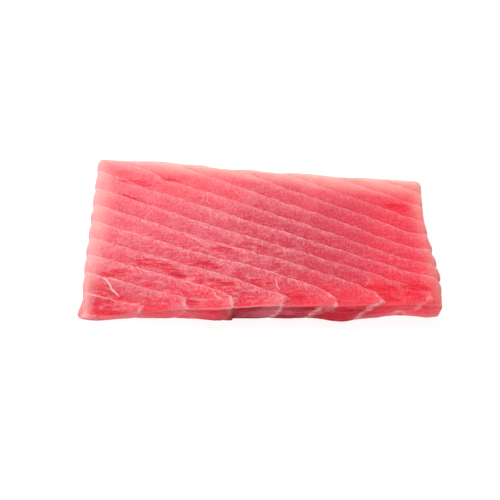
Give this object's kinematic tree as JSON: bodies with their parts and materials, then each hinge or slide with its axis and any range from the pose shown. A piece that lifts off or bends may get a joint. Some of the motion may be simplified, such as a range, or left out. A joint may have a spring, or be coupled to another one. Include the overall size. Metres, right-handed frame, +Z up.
{
  "type": "raw tuna block",
  "caption": "Slab of raw tuna cut square from the loin, with slanting muscle bands parted by pale seams, lying on its flat underside.",
  "frame": {"origin": "middle of the bounding box's underside, where the slab lies on the board", "axes": "+X along the slab, +Y across it to the far side, +Z up from the board"},
  "size_m": [0.204, 0.1002, 0.0187],
  "materials": {
    "tuna_flesh": "moist raw fish flesh, rose pink, slightly translucent, with pale seams and a satin sheen"
  },
  "bodies": {
    "root": {"tuna_block": "tuna_flesh"}
  },
  "joints": []
}
